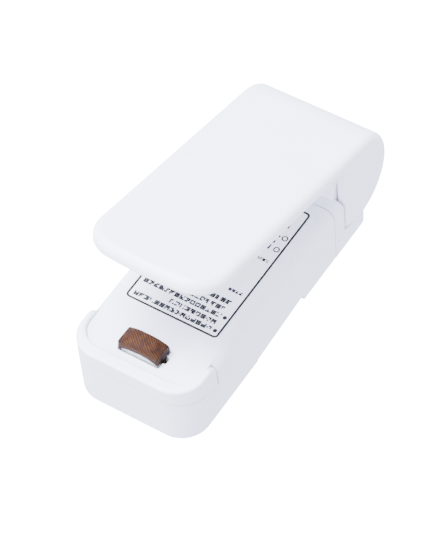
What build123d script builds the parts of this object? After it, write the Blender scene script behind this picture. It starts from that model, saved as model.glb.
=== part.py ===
from build123d import *
import os
from math import cos, radians, sin, sqrt, tan

# Hand-held bag sealer run by two AA cells, in millimetres.
# +Z is up, -Y is the nose with the heater, +X is the right side seen from the nose.
# The origin is under the middle of the object, on the surface that it stands on.
# The lever is drawn at rest, held open by its spring.

# ---------------------------------------------------------------- driving dimensions
wall = 1.8  # housing wall
nose_corner = 8.2  # plan radius of the housing's front corners
shoulder_radius = 3.2  # rounding along the top side edges
base_edge_radius = 0.3
seam_gap = 0.3  # between the top cover and the hinge block
bulkhead = 1.2  # wall between the heater chamber and the battery bay

# Two AA cells side by side; the housing is built round them.
cell_radius, cell_length, cell_nub, cell_nub_radius = 7.15, 50.5, 1.0, 2.75
cell_gap = 0.9  # between the two cells
cell_side_room, cell_head_room, cell_floor_gap = 2.45, 1.1, 0.7
cell_spring_room = 3.5  # length left for a contact spring
contact_plate, contact_width, contact_height, contact_drop = 0.4, 9.0, 10.4, 0.4
spring_wire, spring_radius, spring_turns = 0.6, 3.2, 2.5
tab_z, tab_width, tab_length, leaf_tab_length = 5.0, 2.6, 2.6, 4.4
tab_window_room, tab_window_height = 0.8, 1.6

guard_depth_front, guard_depth_back = 4.0, 7.4  # flat top down to the guard's lower edge
guard_rim = 1.1  # how far the guard stands above the flat top
guard_front = 3.8  # guard thickness at the front
guard_side = 1.9  # guard thickness at the sides
guard_end_web = 0.6  # between the ends of the guard's arms and the battery bay
guard_corner = 8.4
guard_inner_corner = 6.2
guard_arm_radius, guard_rim_radius = 3.2, 0.8
guard_seat_gap = 0.15

block_band = 4.8  # full-height band of the hinge block, behind the seam
band_cut_back, band_cut_height = 0.8, 3.0  # lean of the band's back, for the closing ears
foot_rise = 2.9  # foot's top at the band, above its top under the drum
tongue_length = 1.6  # hinge block inside the top cover, from the seam to the battery bay
pivot_set_back = 13.1  # seam to hinge axis
pivot_drop = 1.4  # flat top down to the hinge axis
foot_past_pivot, foot_corner = 4.6, 4.2

drum_radius = 14.2  # round back of the lever, about the hinge axis
drum_wall = 2.0
drum_end_angle = 27.0  # degrees from the lever's own down to where its round back ends
lever_past_heater = 2.3  # lever's tip, past the middle of the heater
lever_overhang = 0.4  # lever beyond the housing, each side
lever_thickness = 4.2
lever_skin = 1.8
lever_rest_tilt = 14.5  # degrees that the open lever rises towards its tip
lever_travel = 17.0  # degrees that it turns to close
lever_tip_corner = 9.6
lever_tip_bow = 1.8
lever_edge_radius = 2.3
lever_rim_radius = 1.1
lever_side_wall, lever_tip_wall = 2.4, 1.6  # rim of the lever shell
lever_fit_gap = 0.15
ear_corner_ahead = 5.2  # ear's lower front corner, ahead of the axis
ear_corner_lift = 2.5  # ear's lower front corner, above the level of the drum's bottom
ear_head_ahead = 10.8  # ear's front edge under the lever, ahead of the axis
ear_floor_gap = 0.4

pin_radius, pin_chamfer = 1.5, 0.25
pin_running_gap = 0.05
lug_thickness, lug_radius = 3.0, 5.4
lug_root_back, lug_root_ahead = 1.5, 5.5  # where a lug meets the frame, ahead of the axis
lug_gap = 0.45  # each side of a lug, to the core and to the ear
core_gap = 2.3  # between the core's barrel and the inside of the drum
core_root_back = 2.0  # how far the core's root reaches behind the axis
curtain_gap = 0.9  # ahead of the lugs, to the curtain that hides them
hinge_coil_radius, hinge_wire, hinge_whole_turns = 3.2, 0.9, 5
hinge_coil_room, hinge_leg_room = 1.0, 0.7  # bay walls clear of the coil and of the low leg's end
spring_bay_width = 8.6
low_leg_length, low_leg_drop = 6.5, 5.0  # spring leg over the block, and its fall in degrees
low_leg_spare = 2.0  # degrees of room under the low leg with the lever closed
high_leg_rise = 40.0  # degrees between the lever and the spring leg that lifts it
frame_plate, frame_skin_gap = 1.6, 0.1

heater_length, heater_depth = 11.4, 5.0  # head of the heater, across and along the body
heater_stand = 1.6  # flat top up to where the head's sides end and its crown starts
heater_crown = 1.1
heater_arch = 1.4  # middle of the head, above its two ends
insulator_height = 3.4
slot_gap = 0.25  # around the taped heater head
slot_ear = 0.9  # narrow ends of the slot, past the head's gap
slot_ear_depth = 2.2
slot_corner = 0.5
ribbon_thickness, ribbon_width, ribbon_gap, ribbon_foot = 0.15, 2.4, 0.02, 2.6
tape_thickness = 0.25
tape_lift = 0.2  # tape's inner face above the insulator
tape_skirt = 0.7
tape_fold_width, tape_fold_height = 3.4, 3.0
pad_overlap = 1.3  # pad beyond the heater, each end
pad_depth, pad_set_in, pad_clearance = 4.2, 0.6, 0.35
pad_set_back = 2.0  # lever's tip back to the pad
flange_end, flange_thickness, flange_lip = 4.3, 1.8, 0.2  # carrier's flange past the head
flange_travel = 1.2  # room between the flange and the ceiling
carrier_front_gap, carrier_back_room = 0.7, 1.8
rivet_set_out, rivet_radius, rivet_head_radius, rivet_head = 1.2, 0.6, 0.95, 0.4
carrier_spring_set_out, carrier_spring_radius, carrier_wire = 3.1, 1.0, 0.4
carrier_spring_turns, spring_post = 8, 3.5
nib_x, nib_ahead, nib_radius, nib_length = 3.6, 1.6, 0.8, 1.6
leaf_width, leaf_thickness, leaf_gap, leaf_foot_z = 2.0, 0.24, 0.15, 7.0
lead_radius, lead_gap = 0.55, 0.15

bottom_plate = 1.8
plate_gap = 0.15
door_plate, door_gap, door_corner = 1.5, 0.2, 1.0
door_rail = 2.0  # bottom cover's rail beside the door
door_front_inset, door_back_inset = 1.1, 1.2  # door's ends, inside the battery bay's
door_rib_width, door_rib_height, door_rib_inset = 1.6, 1.8, 3.45
grip_length, grip_shift = 23.5, 1.2  # finger notch, and how far behind the door's middle it lies
grip_front_height, grip_back_height = 0.7, 2.6
groove_length, groove_width, groove_depth, groove_pitch, groove_count = 14.0, 0.8, 0.4, 1.8, 4
groove_inset = 6.2  # door's right edge to the middle of the grooves
hook_reach, hook_width, hook_thickness, hook_spread = 1.0, 6.0, 0.4, 16.0
hook_post, hook_gap = 1.4, 0.1

label_side_gap, label_front_gap, label_back_gap = 4.5, 6.5, 3.1
label_thickness, label_corner = 0.12, 1.4

screw_head_radius, screw_radius, screw_head_depth = 1.7, 0.9, 1.0
screw_length = 8.0
screw_hole_gap = 0.1
screw_cross, screw_cross_width = 2.4, 0.5
boss_radius, boss_gap = 2.2, 0.3
nose_screw_set_back = 0.3  # behind the middle of the heater
block_screw_x, block_screw_ahead = 8.4, 5.5  # ahead of the hinge axis
lever_screw_reach = (24.0, 54.0)  # hinge axis to each lever screw
lever_screw_head, lever_screw_shank, lever_screw_head_depth = 1.6, 0.8, 0.7
lever_screw_bite, lever_screw_cross = 0.8, 2.0

# ---------------------------------------------------------------- what follows from them
cell_x = cell_radius + cell_gap / 2
cell_z = door_plate + cell_floor_gap + cell_radius
ceiling_z = cell_z + cell_radius + cell_head_room
body_height = ceiling_z + wall  # flat top of the housing
half_width = cell_x + cell_radius + cell_side_room + wall
body_width = 2 * half_width

# Lengths run from the nose: guard, heater chamber, battery bay, seam, hinge axis, drum.
flange_depth = heater_depth + 2 * flange_lip
nose_to_heater = guard_front + wall + carrier_front_gap + flange_depth / 2
nose_depth = nose_to_heater + flange_depth / 2 + carrier_back_room + bulkhead
bay_length = cell_length + 3 * contact_plate + cell_spring_room
whole_length = nose_depth + bay_length + tongue_length + pivot_set_back + drum_radius
nose_y = -whole_length / 2
heater_y = nose_y + nose_to_heater
bay_front_y = nose_y + nose_depth
bay_back_y = bay_front_y + bay_length
seam_y = bay_back_y + tongue_length
pivot_y, pivot_z = seam_y + pivot_set_back, body_height - pivot_drop  # lever hinge axis
foot_back_y = pivot_y + foot_past_pivot
guard_back_y = bay_front_y - guard_end_web
chamber_back_y = bay_front_y - bulkhead
pocket_front_y = seam_y + block_band  # back face of the hinge block's full-height band

lever_half = half_width + lever_overhang
lever_reach = pivot_y - heater_y + lever_past_heater  # hinge axis to lever tip
guard_inner_half = half_width - guard_side
guard_inner_y = nose_y + guard_front
guard_top_z = body_height + guard_rim
guard_low_front_z = body_height - guard_depth_front
guard_low_back_z = body_height - guard_depth_back
tilt = radians(lever_rest_tilt)
closed_tilt = radians(lever_rest_tilt - lever_travel)
tape_grow = tape_lift + tape_thickness
tape_half_x = heater_length / 2 + tape_grow
tape_half_y = heater_depth / 2 + tape_grow
slot_half_x = tape_half_x + slot_gap
slot_half_y = tape_half_y + slot_gap
heater_head_z = body_height + heater_stand
crown_z = heater_head_z + heater_crown + heater_arch  # top of the head, at its middle
arch_radius = ((heater_length / 2) ** 2 + heater_arch**2) / (2 * heater_arch)
tape_top_z = crown_z + tape_grow
carrier_seat_z = crown_z - insulator_height  # insulator starts here, above the carrier's stem
flange_length = heater_length + 2 * flange_end
flange_top_z = ceiling_z - flange_travel
flange_low_z = flange_top_z - flange_thickness
rivet_x = heater_length / 2 + rivet_set_out
carrier_spring_x = heater_length / 2 + carrier_spring_set_out
nose_screw_x = flange_length / 2 + boss_radius + boss_gap
nose_screw_y = heater_y + nose_screw_set_back
block_screw_y = pivot_y - block_screw_ahead
lever_inner_half = lever_half - lever_side_wall
core_radius = drum_radius - drum_wall - core_gap
core_half = lever_inner_half - 2 * lug_gap - lug_thickness
curtain_half = lever_inner_half - lug_gap
curtain_back_y = pivot_y - lug_radius - curtain_gap
lug_inner_x = core_half + lug_gap
pin_half = lug_inner_x + lug_thickness
ear_corner_drop = drum_radius - ear_corner_lift
drum_end = radians(drum_end_angle)
heel_y = pivot_y + drum_radius * sin(drum_end - tilt)
ledge_z = pivot_z - drum_radius * cos(drum_end - tilt) - ear_floor_gap
lever_underside = drum_radius - lever_thickness
skin_inner = drum_radius - lever_skin
frame_top = skin_inner - frame_skin_gap
frame_low = frame_top - frame_plate
pad_reach = lever_reach - pad_set_back  # hinge axis to the pad's front edge
pad_length = heater_length + 2 * pad_overlap
# Underside of the pad, square to the closed lever, just clear of the tape.
pad_low = (
    (heater_y - pivot_y) * sin(closed_tilt)
    + (tape_top_z - pivot_z) * cos(closed_tilt)
    + pad_clearance
)
door_half_width = half_width - wall - door_rail
door_front_y, door_back_y = bay_front_y + door_front_inset, bay_back_y - door_back_inset
door_length = door_back_y - door_front_y
door_middle_y = (door_front_y + door_back_y) / 2
grip_middle_y = door_middle_y + grip_shift
grip_front_y, grip_back_y = grip_middle_y - grip_length / 2, grip_middle_y + grip_length / 2
label_front_y, label_back_y = guard_back_y + label_front_gap, seam_y - label_back_gap
label_width, label_length = body_width - 2 * label_side_gap, label_back_y - label_front_y

# Planes that lie in the open lever: along its side, and parallel to its top.
lever_side = Plane(
    origin=(0, pivot_y, pivot_z), x_dir=(0, cos(tilt), -sin(tilt)), z_dir=(1, 0, 0)
)
lever_flat = Plane(
    origin=(0, pivot_y, pivot_z), x_dir=(1, 0, 0), z_dir=(0, sin(tilt), cos(tilt))
)


def nose_outline(half, front_y, back_y, corner):
    """Plan outline from front_y to back_y, with its two front corners rounded."""
    with BuildSketch() as outline:
        with Locations((0, (front_y + back_y) / 2)):
            Rectangle(2 * half, back_y - front_y)
        fillet(outline.vertices().group_by(Axis.Y)[0], corner)
    return outline.sketch


def shoulder_section(half, top_z, bottom_z, radius):
    """Cross-section of the housing, seen along Y, with its two top corners rounded."""
    with BuildSketch() as section:
        with Locations((0, (top_z + bottom_z) / 2)):
            Rectangle(2 * half, top_z - bottom_z)
        fillet(section.vertices().group_by(Axis.Y)[-1], radius)
    return section.sketch


def across(y):
    """Upright plane at y, drawn with X to the right and Z up; it extrudes towards the nose."""
    return Plane(origin=(0, y, 0), x_dir=(1, 0, 0), z_dir=(0, -1, 0))


def guard_line(y):
    """Height of the nose guard's lower edge, which slopes down towards the back."""
    slope = (guard_low_front_z - guard_low_back_z) / (guard_back_y - nose_y)
    return guard_low_front_z - slope * (y - nose_y)


def is_guard_rim(edge):
    """True for an edge along the guard's top or over the curved end of an arm."""
    return edge.center().Z > body_height + guard_rim - guard_side


def head_section(grow, bottom_z):
    """Side view of the heater's head, grown all round: flat on top, with rounded shoulders."""
    half, top_z = heater_depth / 2 + grow, crown_z + grow
    with BuildSketch() as section:
        with Locations((heater_y, (top_z + bottom_z) / 2)):
            Rectangle(2 * half, top_z - bottom_z)
        fillet(section.vertices().group_by(Axis.Y)[-1], heater_crown + grow)
    return section.sketch


def arch_disc(grow):
    """Upright disc across the body, whose top is the arch of the heater's head, grown."""
    with BuildSketch(across(heater_y + heater_depth)) as disc:
        with Locations((0, crown_z - arch_radius)):
            Circle(arch_radius + grow)
    return disc.sketch


def arch_z(x, grow):
    """Height of the arch of the heater's head at x, grown."""
    return crown_z - arch_radius + sqrt((arch_radius + grow) ** 2 - x**2)


def write(builder, name):
    builder.part.label = name
    export_step(builder.part, f"parts/{name}.step")


os.makedirs("parts", exist_ok=True)

# ---------------------------------------------------------------- top cover
cover_back_y = seam_y - seam_gap / 2
inner_shoulder = shoulder_radius - 1.2
with BuildPart() as top_cover:
    with BuildSketch(across(cover_back_y)):
        add(shoulder_section(half_width, body_height, 0, shoulder_radius))
    extrude(amount=cover_back_y - nose_y)
    with BuildSketch():
        Rectangle(3 * body_width, 3 * body_width)
        add(
            nose_outline(half_width, nose_y, cover_back_y + 1, nose_corner),
            mode=Mode.SUBTRACT,
        )
    extrude(amount=body_height, mode=Mode.SUBTRACT)
    base_edges = (
        top_cover.edges()
        .group_by(Axis.Z)[0]
        .filter_by(lambda e: e.center().Y < cover_back_y - 0.1)
    )
    fillet(base_edges, base_edge_radius)
    # Seat of the nose guard: the nose is cut back above the guard's sloping lower edge.
    with BuildSketch(Plane.YZ):
        with BuildLine():
            Polyline(
                (nose_y - 5, guard_line(nose_y - 5)),
                (guard_back_y, guard_line(guard_back_y)),
                (guard_back_y, 2 * body_height),
                (nose_y - 5, 2 * body_height),
                close=True,
            )
        make_face()
    extrude(amount=body_width, both=True, mode=Mode.SUBTRACT)
    with BuildSketch(Plane.XY.offset(guard_low_back_z - 1)):
        add(
            nose_outline(
                guard_inner_half, guard_inner_y, guard_back_y + 1, guard_inner_corner
            )
        )
    extrude(amount=body_height - guard_low_back_z + 1)
    # Battery bay, open below and at the seam.
    with BuildSketch(across(cover_back_y)):
        add(shoulder_section(half_width - wall, ceiling_z, -1, inner_shoulder))
    extrude(amount=cover_back_y - bay_front_y, mode=Mode.SUBTRACT)
    # Heater chamber: wide below the guard's seat, narrow behind the guard.
    with BuildSketch():
        add(
            nose_outline(
                half_width - wall, nose_y + wall, chamber_back_y, nose_corner - wall
            )
        )
    extrude(amount=guard_low_back_z - wall, mode=Mode.SUBTRACT)
    with BuildSketch():
        add(
            nose_outline(
                guard_inner_half - wall,
                guard_inner_y + wall,
                chamber_back_y,
                guard_inner_corner - wall,
            )
        )
    extrude(amount=ceiling_z, mode=Mode.SUBTRACT)
    # Recess for the bottom cover.
    with BuildSketch():
        add(
            nose_outline(
                half_width - wall, nose_y + wall, cover_back_y + 1, nose_corner - wall
            )
        )
    extrude(amount=bottom_plate + plate_gap, mode=Mode.SUBTRACT)
    # Slot for the heater head, with a narrow ear at each end.
    with BuildSketch(Plane.XY.offset(ceiling_z - 1)) as slot:
        with Locations((0, heater_y)):
            RectangleRounded(2 * slot_half_x, 2 * slot_half_y, slot_corner)
            RectangleRounded(2 * (slot_half_x + slot_ear), slot_ear_depth, slot_corner)
    extrude(amount=wall + 2, mode=Mode.SUBTRACT)
    # Rib between the two cells.
    with BuildSketch(Plane.XY.offset(cell_z + 4)):
        with Locations((0, (bay_front_y + bay_back_y) / 2)):
            Rectangle(0.7, bay_back_y - bay_front_y - 2)
    extrude(amount=ceiling_z - cell_z - 4)
    # Screw bosses in the nose.
    with BuildSketch(Plane.XY.offset(bottom_plate + plate_gap)):
        with Locations((-nose_screw_x, nose_screw_y), (nose_screw_x, nose_screw_y)):
            Circle(boss_radius)
    extrude(amount=ceiling_z - bottom_plate - plate_gap)
    with Locations(
        (-nose_screw_x, nose_screw_y, bottom_plate),
        (nose_screw_x, nose_screw_y, bottom_plate),
    ):
        Cylinder(
            screw_radius,
            screw_length,
            align=(Align.CENTER, Align.CENTER, Align.MIN),
            mode=Mode.SUBTRACT,
        )
    # Tab windows in the bulkhead, for the two battery terminals.
    with Locations(*[(x, bay_front_y - bulkhead / 2, tab_z) for x in (-cell_x, cell_x)]):
        Box(tab_width + tab_window_room, bulkhead + 1, tab_window_height, mode=Mode.SUBTRACT)
    # Finger notch in the right wall, over the battery door's edge; it deepens to the back.
    with BuildSketch(Plane.YZ.offset(half_width - wall - 1)):
        with BuildLine():
            Polyline(
                (grip_front_y, -1),
                (grip_front_y, grip_front_height),
                (grip_back_y, grip_back_height),
                (grip_back_y, -1),
                close=True,
            )
        make_face()
    extrude(amount=wall + 2, mode=Mode.SUBTRACT)
write(top_cover, "top_cover")

# ---------------------------------------------------------------- nose guard
with BuildPart() as nose_guard:
    with BuildSketch():
        add(nose_outline(half_width, nose_y, guard_back_y - guard_seat_gap, guard_corner))
        add(
            nose_outline(
                guard_inner_half + guard_seat_gap,
                guard_inner_y - guard_seat_gap,
                guard_back_y + 1,
                guard_inner_corner + guard_seat_gap,
            ),
            mode=Mode.SUBTRACT,
        )
    extrude(amount=guard_top_z)
    with BuildSketch(Plane.YZ):
        with BuildLine():
            Polyline(
                (nose_y - 5, -1),
                (guard_back_y + 5, -1),
                (guard_back_y + 5, guard_line(guard_back_y + 5) + guard_seat_gap),
                (nose_y - 5, guard_line(nose_y - 5) + guard_seat_gap),
                close=True,
            )
        make_face()
    extrude(amount=body_width, both=True, mode=Mode.SUBTRACT)
    # Each arm ends in a full curve, seen from the side.
    arm_ends = (
        nose_guard.edges()
        .filter_by(Axis.X)
        .filter_by(lambda e: e.center().Y > guard_back_y - 1)
        .filter_by(lambda e: e.center().Z > guard_top_z - 1)
    )
    fillet(arm_ends, guard_arm_radius)
    rim_edges = nose_guard.edges().filter_by(
        lambda e: e.center().Z > guard_top_z - 1.2 * guard_arm_radius
        and e.geom_type != GeomType.LINE
        or e.center().Z > guard_top_z - 0.01
    )
    fillet(rim_edges.filter_by(Axis.X, reverse=True).filter_by(is_guard_rim), guard_rim_radius)
write(nose_guard, "nose_guard")

# ---------------------------------------------------------------- hinge block
block_front_y = seam_y + seam_gap / 2
with BuildPart() as hinge_block:
    # Full-height band behind the seam, and the tongue that fits inside the top cover.
    with BuildSketch(across(pocket_front_y)):
        add(shoulder_section(half_width, body_height, 0, shoulder_radius))
    extrude(amount=pocket_front_y - block_front_y)
    with BuildSketch(across(block_front_y)):
        add(
            shoulder_section(
                half_width - wall - plate_gap,
                ceiling_z - plate_gap,
                bottom_plate + plate_gap,
                inner_shoulder - plate_gap,
            )
        )
    extrude(amount=block_front_y - bay_back_y)
    # Foot under the lever's ears. Its top falls towards the back, as the open ears do, and
    # the top of the band leans forward, out of the way of the closing ears.
    with BuildSketch():
        with Locations((0, (pocket_front_y + foot_back_y) / 2)):
            foot = Rectangle(body_width, foot_back_y - pocket_front_y)
        fillet(foot.vertices().group_by(Axis.Y)[-1], foot_corner)
    extrude(amount=ledge_z + foot_rise)
    with BuildSketch(Plane.YZ):
        with BuildLine():
            Polyline(
                (pocket_front_y, ledge_z + foot_rise),
                (heel_y, ledge_z),
                (foot_back_y + 1, ledge_z),
                (foot_back_y + 1, body_height + 1),
                (pocket_front_y - band_cut_back, body_height + 1),
                (pocket_front_y - band_cut_back, body_height),
                (pocket_front_y, body_height - band_cut_height),
                close=True,
            )
        make_face()
    extrude(amount=body_width, both=True, mode=Mode.SUBTRACT)
    # Core between the lever's lugs: a barrel about the axis, on a solid root.
    with BuildSketch(Plane.YZ):
        with Locations((pivot_y, pivot_z)):
            Circle(core_radius)
        with BuildLine():
            Polyline(
                (pocket_front_y - 0.5, ledge_z - 1),
                (pivot_y + core_root_back, ledge_z - 1),
                (pivot_y + core_root_back, pivot_z),
                (pocket_front_y - 0.5, body_height - 0.6),
                close=True,
            )
        make_face()
    extrude(amount=core_half, both=True)
    # The front of the barrel runs on across the lugs, as a curtain from ear to ear.
    with BuildSketch(Plane.YZ):
        with Locations((pivot_y, pivot_z)):
            Circle(core_radius)
        with Locations(((pocket_front_y + curtain_back_y) / 2, (ledge_z + pivot_z) / 2)):
            Rectangle(curtain_back_y - pocket_front_y + 1, pivot_z - ledge_z)
        with Locations((curtain_back_y + 2 * core_radius, pivot_z)):
            Rectangle(4 * core_radius, 4 * core_radius, mode=Mode.SUBTRACT)
    extrude(amount=curtain_half, both=True)
    # Bay for the torsion spring, open at the top and the back. Its floor falls away in front
    # of the coil, clear of the low leg at every angle of the lever.
    low_leg_sweep = radians(low_leg_drop + lever_travel + low_leg_spare)
    bay_floor_z = pivot_z - (hinge_coil_radius + hinge_wire / 2) / cos(low_leg_sweep) - 0.05
    bay_nose_y = pivot_y - low_leg_length - hinge_leg_room
    with Locations((0, pivot_y, pivot_z)):
        Cylinder(
            hinge_coil_radius + hinge_wire / 2 + hinge_coil_room,
            spring_bay_width,
            rotation=(0, 90, 0),
            mode=Mode.SUBTRACT,
        )
    with BuildSketch(Plane.YZ):
        with BuildLine():
            Polyline(
                (bay_nose_y, bay_floor_z - (pivot_y - bay_nose_y) * tan(low_leg_sweep)),
                (pivot_y, bay_floor_z),
                (pivot_y + 2 * core_radius, bay_floor_z),
                (pivot_y + 2 * core_radius, pivot_z + 2 * core_radius),
                (bay_nose_y, pivot_z + 2 * core_radius),
                close=True,
            )
        make_face()
    extrude(amount=spring_bay_width / 2, both=True, mode=Mode.SUBTRACT)
    # Running bore for the hinge pin.
    with Locations((0, pivot_y, pivot_z)):
        Cylinder(
            pin_radius + pin_running_gap,
            3 * core_half,
            rotation=(0, 90, 0),
            mode=Mode.SUBTRACT,
        )
    # Recess for the bottom plate, and the two screw holes behind it.
    with BuildSketch():
        with Locations((0, (bay_back_y - 1 + foot_back_y - wall) / 2)):
            recess = Rectangle(
                2 * (half_width - wall), foot_back_y - wall - bay_back_y + 1
            )
        fillet(recess.vertices().group_by(Axis.Y)[-1], foot_corner - wall)
    extrude(amount=bottom_plate + plate_gap, mode=Mode.SUBTRACT)
    with Locations(
        (-block_screw_x, block_screw_y, bottom_plate),
        (block_screw_x, block_screw_y, bottom_plate),
    ):
        Cylinder(
            screw_radius,
            screw_length,
            align=(Align.CENTER, Align.CENTER, Align.MIN),
            mode=Mode.SUBTRACT,
        )
write(hinge_block, "hinge_block")

# ---------------------------------------------------------------- bottom cover
plate_half = half_width - wall - plate_gap
with BuildPart() as bottom_cover:
    with BuildSketch():
        add(
            nose_outline(
                plate_half,
                nose_y + wall + plate_gap,
                foot_back_y - wall - plate_gap,
                nose_corner - wall - plate_gap,
            )
        )
    extrude(amount=bottom_plate)
    back_corners = bottom_cover.edges().filter_by(Axis.Z).group_by(Axis.Y)[-1]
    fillet(back_corners, foot_corner - wall - plate_gap)
    # Battery opening, and the gap beside it for the door's finger grip on the right.
    with BuildSketch():
        with Locations((0, door_middle_y)):
            Rectangle(2 * (door_half_width + door_gap), door_length + 2 * door_gap)
        with Locations((half_width / 2, grip_middle_y)):
            Rectangle(half_width, grip_length)
    extrude(amount=bottom_plate, mode=Mode.SUBTRACT)
    # Posts for the two carrier springs.
    with BuildSketch(Plane.XY.offset(bottom_plate)):
        with Locations((-carrier_spring_x, heater_y), (carrier_spring_x, heater_y)):
            Circle(carrier_spring_radius - carrier_wire)
    extrude(amount=spring_post)
    # Countersunk screw holes.
    for x, y in (
        (nose_screw_x, nose_screw_y),
        (-nose_screw_x, nose_screw_y),
        (block_screw_x, block_screw_y),
        (-block_screw_x, block_screw_y),
    ):
        with Locations((x, y, 0)):
            Cylinder(
                screw_radius + screw_hole_gap,
                3 * bottom_plate,
                mode=Mode.SUBTRACT,
            )
            Cylinder(
                screw_head_radius + screw_hole_gap,
                screw_head_depth + screw_hole_gap,
                align=(Align.CENTER, Align.CENTER, Align.MIN),
                mode=Mode.SUBTRACT,
            )
write(bottom_cover, "bottom_cover")

# ---------------------------------------------------------------- battery door
hook_z = bottom_plate + hook_gap
hook_ys = (door_middle_y - hook_spread, door_middle_y + hook_spread)
with BuildPart() as battery_door:
    with BuildSketch():
        with Locations((0, door_middle_y)):
            RectangleRounded(2 * door_half_width, door_length, door_corner)
        # Grip: the door's right edge reaches out into the finger notch.
        with Locations((plate_half / 2, grip_middle_y)):
            Rectangle(plate_half, grip_length - 2 * door_gap)
    extrude(amount=door_plate)
    # Stiffening rib between the cells.
    with BuildSketch(Plane.XY.offset(door_plate)):
        with Locations((0, door_middle_y)):
            Rectangle(door_rib_width, door_length - 2 * door_rib_inset)
    extrude(amount=door_rib_height)
    # Two hooks along the left edge, over the bottom cover's rail; the door turns on them.
    for hook_y in hook_ys:
        with Locations((-door_half_width, hook_y, door_plate / 2)):
            Box(
                hook_post,
                hook_width,
                hook_z + hook_thickness - door_plate / 2,
                align=(Align.MIN, Align.CENTER, Align.MIN),
            )
        with Locations((-door_half_width - hook_reach, hook_y, hook_z)):
            Box(
                hook_reach + hook_post,
                hook_width,
                hook_thickness,
                align=(Align.MIN, Align.CENTER, Align.MIN),
            )
    # Shallow grooves on the outside, for the thumb.
    with BuildSketch():
        with Locations((door_half_width - groove_inset, grip_middle_y)):
            with GridLocations(groove_pitch, 0, groove_count, 1):
                SlotOverall(groove_length, groove_width, rotation=90)
    extrude(amount=groove_depth, mode=Mode.SUBTRACT)
write(battery_door, "battery_door")

# ---------------------------------------------------------------- cells
for side, name in ((-1, "battery_cell_left"), (1, "battery_cell_right")):
    # The left cell's button points to the nose, and the right cell's to the hinge.
    button_y = bay_front_y + 2 * contact_plate if side < 0 else bay_back_y - contact_plate
    towards_back = (0, -side, 0)
    with BuildPart() as cell:
        with BuildSketch(
            Plane(
                origin=(side * cell_x, button_y, cell_z),
                x_dir=(1, 0, 0),
                z_dir=towards_back,
            )
        ):
            Circle(cell_nub_radius)
        extrude(amount=cell_nub + 1)
        with BuildSketch(
            Plane(
                origin=(side * cell_x, button_y - side * cell_nub, cell_z),
                x_dir=(1, 0, 0),
                z_dir=towards_back,
            )
        ):
            Circle(cell_radius)
        extrude(amount=cell_length - cell_nub)
        rims = cell.edges().filter_by(GeomType.CIRCLE).filter_by(
            lambda e: e.radius > cell_radius - 0.1
        )
        fillet(rims, 0.5)
        fillet(
            cell.edges()
            .filter_by(GeomType.CIRCLE)
            .filter_by(lambda e: e.radius < cell_nub_radius + 0.1)
            .filter_by(lambda e: abs(e.center().Y - button_y) < 0.1),
            0.4,
        )
    write(cell, name)

# ---------------------------------------------------------------- battery contacts
terminal_y = bay_front_y + contact_plate  # front face of the two front plates
for side, name in ((-1, "positive_terminal"), (1, "negative_terminal")):
    # The negative terminal's tab runs on under the heater carrier, as the fixed switch leaf.
    reach = tab_length if side < 0 else leaf_tab_length
    with BuildPart() as terminal:
        with BuildSketch(across(terminal_y + contact_plate)):
            with Locations((side * cell_x, cell_z - contact_drop)):
                RectangleRounded(contact_width, contact_height, 1.0)
        extrude(amount=contact_plate)
        with Locations((side * cell_x, terminal_y - (reach - contact_plate) / 2, tab_z)):
            Box(tab_width, reach, contact_plate)
    write(terminal, name)

with BuildPart() as bridge_contact:
    with BuildSketch(across(bay_back_y)):
        with Locations((0, cell_z - contact_drop)):
            RectangleRounded(2 * cell_x + contact_width, contact_height, 1.0)
            SlotOverall(5.0, 1.6, mode=Mode.SUBTRACT)
    extrude(amount=contact_plate)
write(bridge_contact, "bridge_contact")

spring_end_gap = 0.1
with BuildPart() as contact_springs:
    for side, start_y in (
        (-1, bay_back_y - contact_plate - cell_spring_room),
        (1, terminal_y + contact_plate),
    ):
        rise = cell_spring_room - spring_wire - 2 * spring_end_gap
        with BuildLine():
            coil = Helix(
                pitch=rise / spring_turns,
                height=rise,
                radius=spring_radius,
                center=(side * cell_x, start_y + spring_wire / 2 + spring_end_gap, cell_z),
                direction=(0, 1, 0),
            )
        with BuildSketch(Plane(origin=coil @ 0, z_dir=coil % 0)):
            Circle(spring_wire / 2)
        sweep(path=coil, is_frenet=True)
write(contact_springs, "contact_springs")

# ---------------------------------------------------------------- heater carrier and heater
with BuildPart() as heater_carrier:
    with BuildSketch(Plane.XY.offset(flange_low_z)):
        with Locations((0, heater_y)):
            RectangleRounded(flange_length, flange_depth, 1.2)
    extrude(amount=flange_thickness)
    with BuildSketch(Plane.XY.offset(flange_top_z)):
        with Locations((0, heater_y)):
            RectangleRounded(heater_length, heater_depth, 0.5)
    extrude(amount=carrier_seat_z - flange_top_z)
    # Holes for the two terminal rivets, and the nib that closes the switch.
    with Locations(*[(x, heater_y, flange_top_z) for x in (-rivet_x, rivet_x)]):
        Cylinder(rivet_radius, 6 * flange_thickness, mode=Mode.SUBTRACT)
    with Locations((nib_x, heater_y + nib_ahead, flange_low_z)):
        Cylinder(nib_radius, nib_length, align=(Align.CENTER, Align.CENTER, Align.MAX))
write(heater_carrier, "heater_carrier")

with BuildPart() as heater_insulator:
    with BuildSketch(Plane.YZ):
        add(head_section(0, carrier_seat_z))
    extrude(amount=heater_length / 2, both=True)
    add(extrude(arch_disc(0), amount=2 * heater_depth, mode=Mode.PRIVATE), mode=Mode.INTERSECT)
write(heater_insulator, "heater_insulator")

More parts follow.
